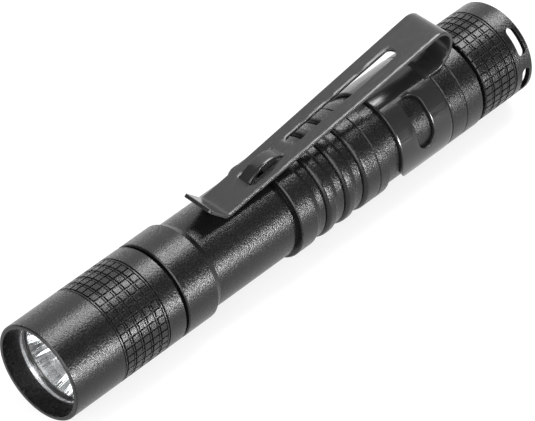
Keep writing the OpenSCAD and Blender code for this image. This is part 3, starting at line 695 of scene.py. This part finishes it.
@dataclass(frozen=True)
class PocketClip:
    """The clip: a sleeve round the body, and a strip that bends back over it.

    Sizes are in millimetres and angles in degrees. The steps say how finely each stretch is divided.
    """

    strip_t: float = 0.5
    rim: float = 0.07
    sleeve_from: float = 16.45
    sleeve_len: float = 9.75
    sleeve_in_r: float = 6.55
    sleeve_low: float = -4.717
    sleeve_rear_r: float = 2.0
    sleeve_front_r: float = 4.2
    window_len: float = 7.7
    window_w: float = 3.2
    window_turn: float = 33.0
    window_at: float = 21.4
    body_r: float = 7.0
    leg: tuple[Point, ...] = ((17.45, 6.8), (16.375, 7.35), (15.7, 7.4), (15.1, 7.45))
    leg_half_widths: tuple[float, ...] = (2.75, 2.8, 2.85, 2.9)
    leg_angle: float = 180.0
    leg_root_share: float = 0.8
    bend_centre: Point = (15.1, 10.1)
    bend_r: float = 2.65
    tip_centre: Point = (53.95, 7.95)
    tip_r: float = 1.2
    arm_half_w: float = 2.55
    tip_half_w: float = 2.45
    jog_at: float = 6.0
    jog_len: float = 1.0
    lip_angle: float = 44.0
    lip_len: float = 3.7
    lip_corner_r: float = 0.5
    slot_from: float = 5.1
    slot_len: float = 20.5
    slot_w: float = 1.7
    bridge_from: float = 4.9
    bridge_len: float = 6.4
    bridge_w: float = 1.8
    bridge_rise: float = 1.25
    bridge_slit: float = 0.16
    bridge_ease: float = 0.1
    sleeve_edge_steps: int = 20
    sleeve_corner_turn: int = 6
    sleeve_rows: int = 11
    sleeve_row_inset: float = 0.4
    sleeve_row_gap: float = 0.9
    sleeve_columns: int = 66
    sleeve_reach: float = 130.0
    window_end_steps: int = 10
    slot_end_steps: int = 12
    slot_side_steps: int = 16
    leg_steps: int = 4
    bend_steps: int = 32
    tip_steps: int = 12
    arm_steps: int = 40
    bridge_steps: int = 24
    lip_steps: int = 6
    lip_corner_turn: int = 15
    lip_corner_room: float = 1.05
    end_steps: int = 5
    across_steps: int = 6
    least_run: float = 0.12
    same_angle: float = 1e-6
    face_weight: int = 100

    def build(self, material: bpy.types.Material) -> bpy.types.Object:
        """Make the clip as one bent sheet and put it on its body.

        Args:
            material: Its finish.

        Returns:
            The new piece.
        """
        bm = bmesh.new()
        sheet = Sheet(self.strip_t, self.rim)
        sheet.add(bm, self.sleeve_loops(), self.sleeve_grid(), self.place_sleeve)
        stations = self.stations()
        sheet.add(bm, self.strip_loops(stations), self.strip_grid(stations), self.strip_placer(stations))
        bmesh.ops.recalc_face_normals(bm, faces=bm.faces)
        mesh = mesh_from(bm, "clip_sheet")
        mesh.shade_smooth()
        mesh.materials.append(material)
        piece = put("clip_sheet", mesh)
        piece.modifiers.new("even_shading", "WEIGHTED_NORMAL").weight = self.face_weight
        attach(piece, "clip")
        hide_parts("pocket_clip")
        return piece

    @property
    def sleeve_r(self) -> float:
        """Outer radius of the sleeve."""
        return self.sleeve_in_r + self.strip_t

    @property
    def sleeve_mid_r(self) -> float:
        """Radius of the middle of the sleeve's sheet."""
        return self.sleeve_in_r + self.strip_t / 2

    @property
    def arm_angle(self) -> float:
        """Slope of the arm, in degrees."""
        dx, dz = (b - a for a, b in zip(self.bend_centre, self.tip_centre))
        return math.degrees(math.atan2(dz, dx) - math.asin((self.bend_r + self.tip_r) / math.hypot(dx, dz)))

    def place_sleeve(self, along: float, arc: float, height: float) -> Vector:
        """Wrap a point of the flat sleeve round the body.

        Args:
            along: Its station on the light.
            arc: Its distance round the body from the top.
            height: Its height over the middle of the sheet.

        Returns:
            The place in metres.
        """
        turn = arc / self.sleeve_mid_r
        r = self.sleeve_mid_r + height
        return on_light(along, r * math.sin(turn), r * math.cos(turn))

    def arc_at(self, over_axis: float) -> float:
        """Return how far round the sleeve a height over the axis lies."""
        return self.sleeve_mid_r * math.acos(over_axis / self.sleeve_r)

    def sleeve_loops(self) -> list[Loop]:
        """Draw the flat sleeve.

        Returns:
            Its outline and its window, which is on the side at +Y.
        """
        front = self.sleeve_from + self.sleeve_len
        low_edge = []
        for r, centre, start in (
            (self.sleeve_rear_r, self.sleeve_from + self.sleeve_rear_r, 2 * QUARTER),
            (self.sleeve_front_r, front - self.sleeve_front_r, 3 * QUARTER),
        ):
            for turn in range(0, QUARTER + 1, self.sleeve_corner_turn):
                a = math.radians(start + turn)
                arc = self.arc_at(self.sleeve_low + r + r * math.sin(a))
                low_edge.append((centre + r * math.cos(a), arc))
        shares = [1 - i / self.sleeve_edge_steps for i in range(1, 2 * self.sleeve_edge_steps)]
        outline = [(x, -w) for x, w in low_edge]
        outline += [(front, -low_edge[-1][1] * share) for share in shares]
        outline += list(reversed(low_edge))
        outline += [(self.sleeve_from, low_edge[0][1] * share) for share in shares]
        window = []
        for x, c in self.round_slot(self.window_w, self.window_len, self.window_end_steps):
            turn = math.radians(QUARTER - self.window_turn) + math.asin(c / self.sleeve_r)
            window.append((self.window_at + x, self.sleeve_mid_r * turn))
        return [outline, window]

    def round_slot(self, width: float, length: float, end_steps: int) -> Loop:
        """Draw a slot with round ends, clockwise, that runs along the second axis.

        Args:
            width: Its width.
            length: Its length over both ends.
            end_steps: Steps round each end.

        Returns:
            The loop.
        """
        r, run = width / 2, length / 2 - width / 2
        points = []
        for end in (1, -1):
            for i in range(end_steps + 1):
                a = math.pi * (1 - i / end_steps) if end > 0 else -math.pi * i / end_steps
                points.append((r * math.cos(a), end * run + r * math.sin(a)))
            steps = self.slot_side_steps
            points += [(r * end, end * run * (1 - 2 * i / steps)) for i in range(1, steps)]
        return points

    def sleeve_grid(self) -> list[Point]:
        """Spread points over the flat sleeve, close enough together to wrap it.

        Returns:
            The points.
        """
        reach = math.radians(self.sleeve_reach) * self.sleeve_mid_r
        rear, count = self.sleeve_from + self.sleeve_row_inset, self.sleeve_columns
        return [
            (rear + self.sleeve_row_gap * i, -reach + 2 * reach * k / count)
            for i in range(self.sleeve_rows) for k in range(count + 1)
        ]

    def leg_rows(self) -> list[Station]:
        """Lay out the leg, from inside the sleeve to the bend.

        Returns:
            Its stations, without their runs.
        """
        rows, root = [], self.leg_root_share
        widths = zip(self.leg_half_widths, self.leg_half_widths[1:])
        for (s0, z0), (s1, z1), (w0, w1) in zip(self.leg, self.leg[1:], widths):
            for i in range(self.leg_steps):
                t = i / self.leg_steps
                along, half_width = s0 + (s1 - s0) * t, w0 + (w1 - w0) * t
                over_axis = z0 + (z1 - z0) * (t * t * (3 - 2 * t))
                share = root + (1 - root) * min(1.0, len(rows) / self.leg_steps)
                rows.append(Station(along, over_axis, self.leg_angle, half_width, follow=1.0, share=share))
        return rows

    def bend_rows(self) -> list[Station]:
        """Lay out the bend, from the leg to the arm.

        Returns:
            Its stations, without their runs.
        """
        rows, width = [], self.leg_half_widths[-1]
        for i in range(self.bend_steps + 1):
            t = i / self.bend_steps
            a = self.leg_angle + (self.arm_angle - self.leg_angle) * t
            place = self.along_circle(self.bend_centre, self.bend_r, a)
            rows.append(Station(*place, a, width, follow=max(0.0, 1 - 2 * t)))
        return rows

    def arm_rows(self, start: Point) -> list[Station]:
        """Lay out the arm's taper, the bend at its tip and the lip.

        Args:
            start: Where the arm leaves the bend.

        Returns:
            Their stations, without their runs.
        """
        end = self.along_circle(self.tip_centre, -self.tip_r, self.arm_angle)
        length = math.dist(start, end)
        rows, jog = [], length - self.jog_at
        for at, width in ((jog, self.arm_half_w), (jog + self.jog_len, self.tip_half_w)):
            place = (a + (b - a) * at / length for a, b in zip(start, end))
            rows.append(Station(*place, self.arm_angle, width))
        for i in range(self.tip_steps + 1):
            a = self.arm_angle + (self.lip_angle - self.arm_angle) * i / self.tip_steps
            rows.append(Station(*self.along_circle(self.tip_centre, -self.tip_r, a), a, self.tip_half_w))
        slope, last = math.radians(self.lip_angle), rows[-1]
        lip = last.along + self.lip_len * math.cos(slope), last.over_axis + self.lip_len * math.sin(slope)
        rows.append(Station(*lip, self.lip_angle, self.tip_half_w))
        return rows

    def stations(self) -> list[Station]:
        """Lay out the strip, from inside the sleeve to the end of the lip.

        Returns:
            Its stations.
        """
        rows = self.leg_rows() + self.bend_rows()
        rows += self.arm_rows(rows[-1].place)
        made, run = [], 0.0
        for before, row in zip([rows[0], *rows], rows):
            run += math.dist(before.place, row.place)
            made.append(replace(row, run=run))
        return made

    @staticmethod
    def along_circle(centre: Point, r: float, angle: float) -> Point:
        """Return the point of a bend where the strip runs at an angle."""
        a = math.radians(angle)
        return centre[0] - r * math.sin(a), centre[1] + r * math.cos(a)

    @staticmethod
    def at(stations: list[Station], run: float) -> Station:
        """Find the strip's station at a distance along it.

        Args:
            stations: The strip's stations.
            run: The distance.

        Returns:
            The station there.
        """
        pairs = zip(stations, stations[1:])
        a, b = next((a, b) for a, b in pairs if run <= b.run or b is stations[-1])
        t = (run - a.run) / (b.run - a.run)
        return Station(*(p + (q - p) * t for p, q in zip(vars(a).values(), vars(b).values())))

    def arm_run(self, stations: list[Station]) -> tuple[float, float]:
        """Return where the flat arm starts and ends along the strip."""
        flat = [s.run for s in stations if math.isclose(s.angle, self.arm_angle, abs_tol=self.same_angle)]
        return flat[0], flat[-1]

    def bridge_span(self, stations: list[Station]) -> tuple[float, float]:
        """Return where the raised bridge starts and ends along the strip."""
        end = self.arm_run(stations)[1] - self.bridge_from
        return end - self.bridge_len, end

    def eased(self, rise: float) -> float:
        """Return a rise whose start from the flat strip is rounded."""
        return (rise + math.hypot(rise, self.bridge_ease)) / 2

    def rise_at(self, run: float, across: float, span: tuple[float, float]) -> float:
        """Work out how far the bridge lifts a point of the strip.

        Args:
            run: The point's distance along the strip.
            across: Its distance from the strip's middle line.
            span: Where the bridge starts and ends along the strip.

        Returns:
            The lift.
        """
        low, high = span
        if abs(across) >= (self.bridge_w + self.bridge_slit) / 2 or not low < run < high:
            return 0.0
        half = (high - low) / 2
        arch_r = (half * half + self.bridge_rise ** 2) / (2 * self.bridge_rise)
        x = run - (low + high) / 2
        arc = math.sqrt(arch_r ** 2 - x * x) - (arch_r - self.bridge_rise)
        return max(0.0, self.eased(arc) - self.eased(0.0))

    def strip_placer(self, stations: list[Station]) -> Place:
        """Make the function that bends the flat strip.

        Args:
            stations: The strip's stations.

        Returns:
            What turns a point of the flat strip and a height into a place.
        """
        span = self.bridge_span(stations)

        def place(run: float, across: float, height: float) -> Vector:
            """Bend one point of the flat strip.

            Args:
                run: Its distance along the strip.
                across: Its distance from the strip's middle line.
                height: Its height over the middle of the sheet.

            Returns:
                The place in metres.
            """
            here = self.at(stations, run)
            a = math.radians(here.angle)
            out = height * here.share + self.rise_at(run, across, span)
            drop = here.follow * (self.body_r - math.sqrt(self.body_r ** 2 - across ** 2))
            return on_light(here.along - out * math.sin(a), across, here.over_axis + out * math.cos(a) - drop)

        return place

    def strip_runs(self, stations: list[Station]) -> list[float]:
        """Divide the strip along its length.

        Args:
            stations: The strip's stations.

        Returns:
            The distances along it at which its outline and its grid have points.
        """
        start, end = self.arm_run(stations)
        low, high = self.bridge_span(stations)
        last = stations[-1].run
        runs = [s.run for s in stations]
        runs += [start + (end - start) * i / self.arm_steps for i in range(1, self.arm_steps)]
        runs += [low + (high - low) * i / self.bridge_steps for i in range(self.bridge_steps + 1)]
        runs += [last - self.lip_len * i / self.lip_steps for i in range(1, self.lip_steps)]
        kept = []
        for run in sorted(runs):
            if not kept or run - kept[-1] > self.least_run:
                kept.append(run)
        return kept

    def strip_outline(self, stations: list[Station]) -> Loop:
        """Draw the flat strip's outline, with round corners on its lip.

        Args:
            stations: The strip's stations.

        Returns:
            The loop, counter-clockwise.
        """
        last, r, w = stations[-1].run, self.lip_corner_r, self.tip_half_w
        runs = [run for run in self.strip_runs(stations) if run < last - self.lip_corner_room * r]
        sides = [(run, self.at(stations, run).half_width) for run in runs]
        for turn in range(0, QUARTER + 1, self.lip_corner_turn):
            a = math.radians(turn)
            sides.append((last - r + r * math.sin(a), w - r + r * math.cos(a)))
        root = sides[0][1]
        outline = [(u, -v) for u, v in sides]
        outline += [(last, (w - r) * (i / self.end_steps - 1)) for i in range(1, 2 * self.end_steps)]
        outline += list(reversed(sides))
        outline += [(runs[0], root * (1 - i / self.end_steps)) for i in range(1, 2 * self.end_steps)]
        return outline

    def strip_slits(self, stations: list[Station]) -> list[Loop]:
        """Draw the slits beside the bridge.

        Args:
            stations: The strip's stations.

        Returns:
            One loop for each side, clockwise.
        """
        low, high = self.bridge_span(stations)
        near, far = self.bridge_w / 2, self.bridge_w / 2 + self.bridge_slit
        runs = [low + (high - low) * i / self.bridge_steps for i in range(self.bridge_steps + 1)]
        slits = []
        for side in (-1, 1):
            loop = [(u, side * far) for u in runs] + [(u, side * near) for u in reversed(runs)]
            slits.append(loop if side > 0 else list(reversed(loop)))
        return slits

    def strip_loops(self, stations: list[Station]) -> list[Loop]:
        """Draw the flat strip.

        Args:
            stations: The strip's stations.

        Returns:
            Its outline, its long slot and the slits beside its bridge.
        """
        middle = self.arm_run(stations)[0] + self.slot_from + self.slot_len / 2
        slot = self.round_slot(self.slot_w, self.slot_len, self.slot_end_steps)
        turned = [(middle + c, -x) for x, c in slot]
        return [self.strip_outline(stations), turned, *self.strip_slits(stations)]

    def strip_grid(self, stations: list[Station]) -> list[Point]:
        """Spread points over the flat strip, close enough together to bend it.

        Args:
            stations: The strip's stations.

        Returns:
            The points.
        """
        points, steps = [], self.across_steps
        for run in self.strip_runs(stations):
            width = self.at(stations, run).half_width
            points += [(run, width * (k / steps - 1)) for k in range(1, 2 * steps)]
        return points


@dataclass(frozen=True)
class SoftBox:
    """One studio lamp: where it stands from what it faces, its size in metres and how bright its face is.

    The width runs in the direction that along gives, as far as it can, and the height across it. The spread
    of its beam is in degrees.
    """

    name: str
    direction: Triple
    distance: float
    width: float
    height: float
    radiance: float
    faces: Triple = AXIS_MIDDLE
    spread: float = 180.0
    along: Triple = (1.0, 0.0, 0.0)

    def build(self) -> bpy.types.Object:
        """Make the lamp, facing its place.

        Returns:
            The lamp.
        """
        data = bpy.data.lights.new(self.name, "AREA")
        data.shape = "RECTANGLE"
        data.size, data.size_y = self.width, self.height
        data.energy = WATTS_PER_RADIANCE * self.width * self.height * self.radiance
        data.spread = math.radians(self.spread)
        away = Vector(self.direction).normalized()
        across = away.cross(Vector(self.along)).normalized()
        turn = Matrix((across.cross(away), across, away)).transposed().to_4x4()
        lamp = put(self.name, data)
        lamp.matrix_world = Matrix.Translation(Vector(self.faces) + away * self.distance) @ turn
        return lamp


@dataclass(frozen=True)
class Studio:
    """The camera, the lamps, the floor and the room."""

    azimuth: float = 133.64910
    elevation: float = 43.18905
    distance_mm: float = 560.558
    aside_mm: float = 1.05985
    above_mm: float = 0.98363
    focal_px: float = 4310.09
    picture_width_px: int = 535
    sensor_mm: float = 36.0
    near_m: float = 0.01
    far_m: float = 10.0
    floor_m: float = 1.6
    floor_gap_mm: float = 0.05
    floor_tone: float = 0.2
    floor_glow: float = 0.76
    room_tone: float = 0.16
    lamps: tuple[SoftBox, ...] = (
        SoftBox("side_box", (-0.31, 0.94, 0.13), 0.6, 0.14, 0.14, 64.0),
        SoftBox("top_box", (-0.53, -0.12, 0.84), 0.6, 0.36, 0.26, 13.0),
        SoftBox("fill_box", (-0.53, -0.66, 0.53), 0.8, 1.2, 0.92, 1.1),
        SoftBox("floor_box", (0.0, 0.0, 1.0), 0.45, 0.1, 0.1, 38.0, faces=(-0.08, -0.22, 0.0), spread=44.0),
        SoftBox("front_box", (0.85, 0.3, 0.35), 0.8, 1.0, 1.0, 5.0, along=(0.0, 1.0, 0.0)),
    )

    def build(self) -> None:
        """Make everything that isn't part of the light."""
        self.camera()
        for lamp in self.lamps:
            LOG.info("studio: %s", lamp.build().name)
        self.floor()
        self.room()
        bpy.context.scene.view_settings.view_transform = "Standard"

    def camera(self) -> None:
        """Stand the camera where the picture was taken from."""
        az, el = math.radians(self.azimuth), math.radians(self.elevation)
        back = Vector((math.sin(az) * math.cos(el), -math.cos(az) * math.cos(el), math.sin(el)))
        right = Vector((math.cos(az), math.sin(az), 0.0))
        up = back.cross(right)
        data = bpy.data.cameras.new("camera")
        data.sensor_width = self.sensor_mm
        data.lens = self.focal_px * self.sensor_mm / self.picture_width_px
        data.clip_start, data.clip_end = self.near_m, self.far_m
        middle = Vector((0.0, 0.0, AXIS_HEIGHT))
        place = middle + back * self.distance_mm - right * self.aside_mm - up * self.above_mm
        camera = put("camera", data)
        camera.matrix_world = Matrix.Translation(place * MM) @ Matrix((right, up, back)).transposed().to_4x4()
        bpy.context.scene.camera = camera

    def floor(self) -> None:
        """Lay the pale floor."""
        bm = bmesh.new()
        bmesh.ops.create_grid(bm, x_segments=1, y_segments=1, size=self.floor_m / 2)
        floor = put("floor", mesh_from(bm, "floor"))
        floor.location.z = -self.floor_gap_mm * MM
        floor.data.materials.append(self.paper())

    def paper(self) -> bpy.types.Material:
        """Make the floor's paper, which shows as white and keeps the light's shadow.

        Returns:
            The new material.
        """
        made = bpy.data.materials.new("floor_paper")
        wiring = Wiring.fresh(made)
        paper = wiring.add("ShaderNodeBsdfDiffuse", {"Color": (self.floor_tone,) * 3 + (1.0,)})
        rays = wiring.add("ShaderNodeLightPath").outputs
        seen = wiring.math("MAXIMUM", rays["Is Camera Ray"], rays["Is Glossy Ray"])
        seen = wiring.math("MAXIMUM", seen, rays["Is Transmission Ray"])
        glow = wiring.add("ShaderNodeEmission", {"Strength": wiring.math("MULTIPLY", seen, self.floor_glow)})
        both = wiring.add("ShaderNodeAddShader", {0: paper.outputs[0], 1: glow.outputs[0]})
        wiring.add("ShaderNodeOutputMaterial", {"Surface": both.outputs[0]})
        return made

    def room(self) -> None:
        """Fill the room with a plain soft light."""
        world = bpy.data.worlds.new("room")
        bpy.context.scene.world = world
        wiring = Wiring.fresh(world)
        light = wiring.add("ShaderNodeBackground", {"Color": (self.room_tone,) * 3 + (1.0,), "Strength": 1.0})
        wiring.add("ShaderNodeOutputWorld", {"Surface": light.outputs[0]})


def main() -> None:
    """Set up the studio, dress the light and make its clip."""
    logging.basicConfig(level=logging.INFO, format="%(name)s: %(message)s")
    Studio().build()
    groups = EffectGroups()
    materials = {finish.slot: finish.material(groups) for finish in FINISHES}
    for assembly in ASSEMBLIES:
        assembly.dress(materials)
    clip = PocketClip().build(materials["clip_steel"])
    LOG.info("clip: %s has %d faces", clip.name, len(clip.data.polygons))


if __name__ == "__main__":
    main()
